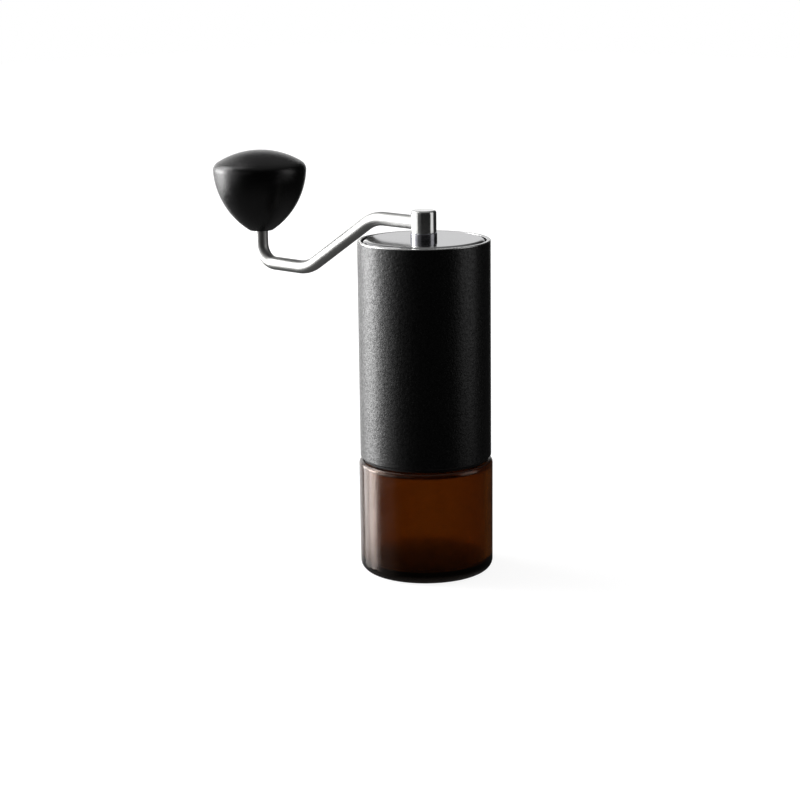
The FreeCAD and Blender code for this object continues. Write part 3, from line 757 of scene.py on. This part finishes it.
@dataclass
class Jar:
    """Amber jar with its neck thread, and the seal on its shoulder."""

    foot_radius: float = 26.5
    mouth_radius: float = 26.6
    height: float = 45.2
    wall: float = 2.5
    floor: float = 3.6
    foot_rounding: float = 3.6
    floor_rounding: float = 2.0
    push_up: float = 3.2
    push_up_share: float = 0.8
    shoulder_rounding: float = 2.0
    shoulder_wall: float = 1.7
    inner_rounding: float = 2.0
    neck_radius: float = 22.58
    neck_bore: float = 20.38
    neck_top: float = 54.4
    neck_rounding: float = 0.8
    thread_rise: float = 0.4
    thread_width: float = 1.7
    thread_pitch: float = 4.0
    thread_start: float = 47.6
    thread_turns: float = 1.25

    def glass(self) -> Form:
        """Closed shell of the jar with its thread."""
        bore = self.mouth_radius - self.wall
        inner_shoulder = self.height - self.shoulder_wall
        reach = bore / 2 - self.floor_rounding
        slope = math.atan2(self.push_up, bore - reach)
        bend = self.push_up_share * reach / math.tan(slope / 2)
        return Form().outline((
            Corner(0, 0),
            Corner(self.foot_radius, 0, self.foot_rounding),
            Corner(self.mouth_radius, self.height, self.shoulder_rounding),
            Corner(self.neck_radius, self.height),
            Corner(self.neck_radius, self.neck_top, self.neck_rounding),
            Corner(self.neck_bore, self.neck_top, self.neck_rounding),
            Corner(self.neck_bore, inner_shoulder, self.neck_rounding),
            Corner(bore, inner_shoulder, self.inner_rounding),
            Corner(bore, self.floor, self.floor_rounding),
            Corner(reach, self.floor + self.push_up, bend),
            Corner(0, self.floor + self.push_up),
        )).turn().ridge(
            self.neck_radius, self.thread_rise, self.thread_width, self.thread_start,
            self.thread_pitch, self.thread_turns)

    def build(self) -> None:
        """Make the jar and dress its seal."""
        jar = self.glass().piece("amber_jar", Body.JAR, GLASS)
        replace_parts(jar, "jar")
        dress(RUBBER, "jar_seal_ring")


@dataclass
class Housing:
    """Black sleeve with its bare rim, and the frame and bridges in it."""

    radius: float = 26.0
    bore: float = 24.4
    bottom: float = 46.4
    top: float = 132.5
    rounding: float = 0.4
    neck_bore: float = 23.08
    thread_rise: float = -0.4
    thread_width: float = 1.5
    thread_pitch: float = 4.0
    thread_start: float = 48.6
    thread_turns: float = 1.25

    def sleeve(self) -> Form:
        """Tube whose top faces take the second finish."""
        form = Form().outline((
            Corner(self.bore, self.bottom, self.rounding / 2),
            Corner(self.radius, self.bottom, self.rounding),
            Corner(self.radius, self.top, self.rounding),
            Corner(self.bore, self.top, self.rounding),
        )).turn()
        for face in form.mesh.faces:
            face.material_index = int(face.calc_center_median().z > self.top - self.rounding)
        return form

    def build(self) -> None:
        """Make the sleeve and the frame's thread, and dress the solids."""
        sleeve = self.sleeve().piece("black_sleeve", Body.GRINDER, COAT, RIM_POLISH)
        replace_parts(sleeve, "outer_sleeve")
        Form().ridge(
            self.neck_bore, self.thread_rise, self.thread_width, self.thread_start,
            self.thread_pitch, self.thread_turns).piece("frame_thread", Body.GRINDER, ALUMINIUM)
        dress(ALUMINIUM, "inner_frame", "upper_bridge", "lower_bridge")
        dress(STEEL, "upper_bridge_ring", "lower_bridge_ring")


@dataclass
class Mechanism:
    """Shaft, bearings, burrs, spring and dial, with the screws of the burr ring."""

    places: tuple[str, str] = ("upper", "lower")
    screw_count: int = 3
    screw_circle: float = 19.8
    screw_bottom: float = 60.0
    screw_length: float = 7.0
    screw_radius: float = 1.0
    head_radius: float = 1.4
    head_height: float = 1.2
    key_radius: float = 0.8
    key_depth: float = 0.8
    screw_steps: int = 24

    def screws(self) -> Form:
        """Countersunk screws with six-sided sockets."""
        socket_floor = self.screw_bottom + self.key_depth
        top = self.screw_bottom + self.screw_length
        form = Form().outline((
            Corner(self.key_radius, self.screw_bottom),
            Corner(self.head_radius, self.screw_bottom),
            Corner(self.screw_radius, self.screw_bottom + self.head_height),
            Corner(self.screw_radius, top),
            Corner(0, top),
            Corner(0, socket_floor),
            Corner(self.key_radius, socket_floor),
        )).turn(self.screw_steps)
        side = math.pi / 3
        for spot in form.mesh.verts:
            flat = spot.co * Vector((1, 1, 0))
            if spot.co.z <= socket_floor and abs(flat.length - self.key_radius) < MERGE_DISTANCE:
                corner = math.atan2(flat.y, flat.x) % side - side / 2
                flat *= math.cos(side / 2) / math.cos(corner)
                spot.co = (flat.x, flat.y, spot.co.z)
        return form.shift(self.screw_circle).repeat(self.screw_count)

    def build(self) -> None:
        """Make the screws and dress every solid of the drive."""
        screws = self.screws().piece("burr_screws", Body.GRINDER, STEEL)
        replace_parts(screws, "outer_burr_screws")
        for place in self.places:
            races = (f"{place}_bearing_{piece}" for piece in ("outer_race", "inner_race", "balls"))
            dress(POLISH, *races)
            dress(NYLON, f"{place}_bearing_cage")
        dress(
            STEEL, "drive_shaft", "shaft_clip", "spring_seat_washer", "burr_spring", "inner_burr",
            "outer_burr", "detent_plate")
        dress(POLISH, "detent_balls")
        dress(DIAL, "adjuster_dial")


@dataclass
class Lid:
    """Polished lid with a skirt and an O-ring, and the collar in its middle."""

    radius: float = 24.25
    top: float = 132.8
    underside: float = 131.0
    seat: float = 129.62
    edge_rounding: float = 2.4
    inner_rounding: float = 1.0
    skirt_radius: float = 22.33
    skirt_wall: float = 2.0
    skirt_bottom: float = 124.6
    skirt_rounding: float = 0.3
    groove_level: float = 127.1
    groove_half: float = 0.85
    groove_floor: float = 20.81
    hole: float = 4.02
    collar_radius: float = 5.2
    collar_seat: float = 132.82
    collar_top: float = 135.2
    collar_rounding: float = 0.4
    collar_bore: float = 3.05
    spigot_radius: float = 4.0

    def plate(self) -> Form:
        """Lid with its skirt."""
        inner = self.skirt_radius - self.skirt_wall
        low = self.groove_level - self.groove_half
        high = self.groove_level + self.groove_half
        return Form().outline((
            Corner(self.hole, self.underside),
            Corner(inner, self.underside, self.inner_rounding),
            Corner(inner, self.skirt_bottom, self.skirt_rounding),
            Corner(self.skirt_radius, self.skirt_bottom, self.skirt_rounding),
            Corner(self.skirt_radius, low),
            Corner(self.groove_floor, low),
            Corner(self.groove_floor, high),
            Corner(self.skirt_radius, high),
            Corner(self.skirt_radius, self.seat),
            Corner(self.radius, self.seat),
            Corner(self.radius, self.top, self.edge_rounding),
            Corner(self.hole, self.top),
        )).turn()

    def collar(self) -> Form:
        """Collar that the crank's spindle turns in."""
        return Form().outline((
            Corner(self.collar_bore, self.underside),
            Corner(self.spigot_radius, self.underside),
            Corner(self.spigot_radius, self.collar_seat),
            Corner(self.collar_radius, self.collar_seat),
            Corner(self.collar_radius, self.collar_top, self.collar_rounding),
            Corner(self.collar_bore, self.collar_top),
        )).turn()

    def build(self) -> None:
        """Make the lid and its collar, and dress the ring."""
        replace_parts(self.plate().piece("polished_lid", Body.LID, LID_POLISH), "lid")
        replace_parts(self.collar().piece("lid_collar", Body.LID, COLLAR_POLISH), "lid_bush")
        dress(RUBBER, "lid_o_ring")


@dataclass
class Crank:
    """Hub with its spindle, bent arm and socket."""

    hub_radius: float = 5.0
    hub_bottom: float = 135.4
    hub_top: float = 144.0
    hub_rounding: float = 1.0
    spindle_radius: float = 3.0
    spindle_bottom: float = 126.96
    arm_radius: float = 2.75
    arm_start: float = 1.5
    arm_bend: float = 18.0
    upper_level: float = 138.8
    lower_level: float = 114.9
    upper_corner: float = -26.4
    lower_corner: float = -63.8
    stem: float = STEM_AXIS
    stem_bend: float = 8.0
    tip_bottom: float = 145.0
    tip_top: float = 148.0
    tip_rounding: float = 0.4
    groove_bottom: float = 146.38
    groove_top: float = 147.12
    groove_radius: float = 2.25

    def hub(self) -> Form:
        """Hub and spindle in one."""
        return Form().outline((
            Corner(0, self.spindle_bottom),
            Corner(self.spindle_radius, self.spindle_bottom),
            Corner(self.spindle_radius, self.hub_bottom),
            Corner(self.hub_radius, self.hub_bottom),
            Corner(self.hub_radius, self.hub_top, self.hub_rounding),
            Corner(0, self.hub_top),
        )).turn()

    def arm(self) -> Form:
        """Bent rod with a clip groove near its upturned end."""
        tip = Form().outline((
            Corner(0, self.tip_bottom),
            Corner(self.arm_radius, self.tip_bottom),
            Corner(self.arm_radius, self.groove_bottom),
            Corner(self.groove_radius, self.groove_bottom),
            Corner(self.groove_radius, self.groove_top),
            Corner(self.arm_radius, self.groove_top),
            Corner(self.arm_radius, self.tip_top, self.tip_rounding),
            Corner(0, self.tip_top),
        )).turn().shift(self.stem)
        return tip.sweep((
            Corner(self.arm_start, self.upper_level),
            Corner(self.upper_corner, self.upper_level, self.arm_bend),
            Corner(self.lower_corner, self.lower_level, self.arm_bend),
            Corner(self.stem, self.lower_level, self.stem_bend),
            Corner(self.stem, self.tip_bottom),
        ), self.arm_radius)

    def build(self) -> None:
        """Make the hub and the arm, and dress the socket."""
        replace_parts(self.hub().piece("polished_hub", Body.CRANK, POLISH), "crank_hub")
        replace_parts(self.arm().piece("bent_arm", Body.CRANK, DRAWN), "crank_arm")
        dress(STEEL, "drive_socket", "socket_pin", "stem_clip")
        dress(NYLON, "thrust_washer")


@dataclass
class Knob:
    """Domed knob of three tangent arcs, in a body and a cap."""

    axis: float = STEM_AXIS
    bottom: float = 128.3
    height: float = 33.4
    radius: float = 19.45
    base_radius: float = 4.95
    shoulder_radius: float = 3.9
    shoulder_height: float = 25.1
    side_radius: float = 32.0
    cavity_radius: float = 8.5
    cavity_floor: float = 17.0
    bush_hole: float = 3.92
    spigot_gap: float = 0.02
    spigot_depth: float = 2.5
    seam: float = 0.1
    arc_steps: int = 40
    shoulder: Vector = field(init=False)
    side: Vector = field(init=False)
    dome: Vector = field(init=False)

    def __post_init__(self) -> None:
        """Find the centres of the three arcs."""
        inset = self.radius - self.shoulder_radius
        rise = self.height - self.shoulder_height
        self.shoulder = Vector((inset, 0, self.bottom + self.shoulder_height))
        spread = inset ** 2 + rise ** 2 - self.shoulder_radius ** 2
        dome_radius = spread / (2 * (rise - self.shoulder_radius))
        self.dome = Vector((0, 0, self.bottom + self.height - dome_radius))
        line = Vector((self.base_radius, 0, self.bottom)) - self.shoulder
        near = self.side_radius - self.shoulder_radius
        along = (near ** 2 - self.side_radius ** 2 + line.length_squared) / (2 * line.length)
        off = math.sqrt(near ** 2 - along ** 2)
        line.normalize()
        self.side = self.shoulder + line * along + Vector((line.z, 0, -line.x)) * off

    @staticmethod
    def slope(origin: Vector, target: Vector) -> float:
        """Angle of a line in the XZ plane."""
        return math.atan2(target.z - origin.z, target.x - origin.x)

    def seam_spot(self) -> Vector:
        """Point of the outline where the cap meets the body."""
        return self.shoulder + (self.shoulder - self.dome).normalized() * self.shoulder_radius

    def lower(self) -> Form:
        """Body of the knob below its seam."""
        form = Form()
        base = Vector((self.base_radius, 0, self.bottom))
        seam = self.seam_spot()
        start = form.mesh.verts.new(base)
        turn = self.slope(self.side, self.shoulder) - self.slope(self.side, base)
        middle = form.arc(start, self.side, turn, self.arc_steps)
        turn = self.slope(self.dome, self.shoulder) - self.slope(self.side, self.shoulder)
        end = form.arc(middle, self.shoulder, turn, self.arc_steps)
        floor = self.bottom + self.cavity_floor
        inside = form.run(
            end, (self.cavity_radius, seam.z), (self.cavity_radius, floor),
            (self.bush_hole, floor), (self.bush_hole, self.bottom))
        form.mesh.edges.new((inside, start))
        return form.turn().shift(self.axis)

    def cap(self) -> Form:
        """Domed cap over the seam."""
        form = Form()
        seam = self.seam_spot()
        spigot = self.cavity_radius - self.spigot_gap
        angle = self.slope(self.dome, seam) + self.seam / (seam - self.dome).length
        reach = (seam - self.dome).length
        edge = self.dome + Vector((math.cos(angle), 0, math.sin(angle))) * reach
        start = form.mesh.verts.new(edge)
        pole = form.arc(start, self.dome, math.pi / 2 - angle, self.arc_steps)
        foot = seam.z - self.spigot_depth
        end = form.run(pole, (0, foot), (spigot, foot), (spigot, edge.z))
        form.mesh.edges.new((end, start))
        return form.turn().shift(self.axis)

    def build(self) -> None:
        """Make both halves and dress the bush."""
        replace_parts(self.lower().piece("knob_lower", Body.KNOB, PLASTIC), "knob_body")
        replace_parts(self.cap().piece("knob_dome", Body.KNOB, PLASTIC), "knob_cap")
        dress(NYLON, "knob_bush")


@dataclass(frozen=True)
class SoftBox:
    """One soft lamp, placed as the camera sees the object."""

    name: str
    right: float
    near: float
    up: float
    size: tuple[float, float]
    power: float
    aim: tuple[float, float, float] = (0.0, 0.0, 0.08)


@dataclass(frozen=True)
class Glow:
    """One bright part of the surroundings, in a direction as the camera sees it."""

    right: float
    near: float
    up: float
    cosines: tuple[float, float]
    level: float


@dataclass
class Studio:
    """Pale floor, white surroundings, soft lamps and the camera."""

    azimuth: float = math.radians(42)
    distance: float = 0.76654
    height: float = 0.24556
    pitch: float = 0.22693
    yaw: float = 0.01311
    roll: float = -0.01252
    lens: float = 89.413
    sensor: float = 36.0
    floor_size: float = 6.0
    floor_drop: float = 0.0001
    floor_tone: Colour = (0.3, 0.3, 0.3, 1)
    floor_glow: float = 0.9
    # Painted shadow: inner and outer radius of the dark disc under the jar that the glass looks through.
    painted_shadow_radii: tuple[float, float] = (0.022, 0.034)
    white_floor: tuple[float, float] = (0.3, 1.2)
    lamps: tuple[SoftBox, ...] = (
        SoftBox("left_box", -1.451, -0.3805, 0.375, (0.55, 1.82), 24.8),
        SoftBox("left_back_box", -1.2425, -0.84, 0.375, (0.6, 1.82), 13.5),
        SoftBox("left_strip", -1.4575, -0.3575, 0.24, (0.5, 0.54), 7.4),
        SoftBox("left_back_strip", -1.2425, -0.84, 0.24, (0.6, 0.54), 3.8),
        SoftBox("left_rear_box", -0.795, -1.272, 0.375, (0.58, 1.82), 2.2),
        SoftBox("left_high_box", -0.865, -0.315, 1.28, (1.0, 0.8), 3.6),
        SoftBox("left_edge_box", -1.4975, -0.025, 0.375, (0.2, 1.82), 2.05),
        SoftBox("left_side_box", -1.495, 0.13, 0.26, (0.475, 1.175), 5.2),
        SoftBox("left_front_box", -1.37, 0.61, 0.26, (0.525, 1.175), 2.0),
        SoftBox("left_dim_box", -0.975, 1.14, 0.445, (0.825, 1.05), 0.46),
        SoftBox("right_box", 1.4775, 0.26, 0.425, (0.9, 1.35), 3.45),
    )
    dark: Colour = (0.02, 0.02, 0.02, 1)
    glows: tuple[Glow, ...] = (
        Glow(-0.15, -1, 0.02, (0.86, 0.97), 1.0),
        Glow(-1, -0.4, 0, (0.3, 0.9), 0.2),
        Glow(-0.1, -0.2, 1, (0.4, 0.9), 0.24),
        Glow(0, 0, -1, (0.35, 0.8), 0.12),
    )

    def spot(self, right: float, near: float, up: float) -> Vector:
        """Point given by how far it is to the camera's right, towards it and up."""
        turned = Matrix.Rotation(self.azimuth, 3, "Z")
        return turned @ Vector((right, -near, up))

    def camera(self) -> None:
        """Place the camera at the photograph's angle."""
        data = bpy.data.cameras.new("camera")
        data.sensor_fit = "HORIZONTAL"
        data.sensor_width = self.sensor
        data.lens = self.lens
        camera = bpy.data.objects.new("camera", data)
        turned = Matrix.Rotation(self.azimuth + self.yaw, 4, "Z")
        tilted = Matrix.Rotation(math.pi / 2 - self.pitch, 4, "X")
        rolled = Matrix.Rotation(self.roll, 4, "Z")
        place = Matrix.Translation(self.spot(0, self.distance, self.height))
        camera.matrix_world = place @ turned @ tilted @ rolled
        bpy.context.scene.collection.objects.link(camera)
        bpy.context.scene.camera = camera

    def floor(self) -> None:
        """Lay a pale floor that is white to the camera and keeps its shadow, with a painted shadow under
        the jar for rays through the glass.
        """
        form = bmesh.new()
        bmesh.ops.create_grid(form, x_segments=1, y_segments=1, size=self.floor_size / 2)
        bmesh.ops.translate(form, vec=(0, 0, -self.floor_drop), verts=form.verts)
        data = bpy.data.meshes.new("floor")
        form.to_mesh(data)
        form.free()
        material = bpy.data.materials.new("pale_floor")
        material.use_nodes = True
        graph = Graph(material.node_tree)
        across, deep, _ = graph.place()
        away = across.distance(deep)
        # Painted shadow: rays through the glass see no glow in a disc under the jar.
        outside_painted_shadow = away.rise(*self.painted_shadow_radii)
        level = away.rise(*self.white_floor).between((self.floor_glow, 1.0))
        seen = graph.ray("Is Camera Ray").larger(graph.ray("Is Transmission Ray") * outside_painted_shadow)
        shade = graph.node("ShaderNodeBsdfDiffuse", {}, {"Color": self.floor_tone})
        colour = graph.mix(seen * level, BLACK, WHITE)
        glow = graph.node("ShaderNodeEmission", {}, {"Color": colour, "Strength": 1.0})
        both = graph.node("ShaderNodeAddShader", {}, {0: shade.outputs[0], 1: glow.outputs[0]})
        graph.node("ShaderNodeOutputMaterial", {}, {"Surface": both.outputs[0]})
        data.materials.append(material)
        floor = bpy.data.objects.new("floor", data)
        bpy.context.scene.collection.objects.link(floor)
        floor.visible_glossy = False

    def surroundings(self) -> None:
        """White behind the object, grey to its left, above and below it, dark elsewhere."""
        world = bpy.data.worlds.new("surroundings")
        world.use_nodes = True
        bpy.context.scene.world = world
        graph = Graph(world.node_tree)
        level = graph.ray("Is Camera Ray", "Is Transmission Ray")
        for glow in self.glows:
            way = self.spot(glow.right, glow.near, glow.up)
            level = level.larger(graph.facing(way).rise(*glow.cosines) * glow.level)
        colour = graph.mix(level, self.dark, WHITE)
        light = graph.node("ShaderNodeBackground", {}, {"Color": colour, "Strength": 1.0})
        graph.node("ShaderNodeOutputWorld", {}, {"Surface": light.outputs[0]})

    def light(self) -> None:
        """Hang the lamps."""
        for lamp in self.lamps:
            data = bpy.data.lights.new(lamp.name, "AREA")
            data.shape = "RECTANGLE"
            data.size, data.size_y = lamp.size
            data.energy = lamp.power
            made = bpy.data.objects.new(lamp.name, data)
            place = self.spot(lamp.right, lamp.near, lamp.up)
            facing = (Vector(lamp.aim) - place).to_track_quat("-Z", "Y")
            made.matrix_world = Matrix.Translation(place) @ facing.to_matrix().to_4x4()
            made.visible_camera = False
            bpy.context.scene.collection.objects.link(made)
            log.info("lamp %s", lamp.name)

    def build(self) -> None:
        """Set the stage."""
        bpy.context.scene.view_settings.view_transform = "Standard"
        self.camera()
        self.floor()
        self.surroundings()
        self.light()


def main() -> None:
    """Build the stage and every sub-assembly."""
    logging.basicConfig(level=logging.INFO, format="%(name)s: %(message)s")
    for assembly in (Studio(), Jar(), Housing(), Mechanism(), Lid(), Crank(), Knob()):
        log.info("building %s", type(assembly).__name__)
        assembly.build()


if __name__ == "__main__":
    main()
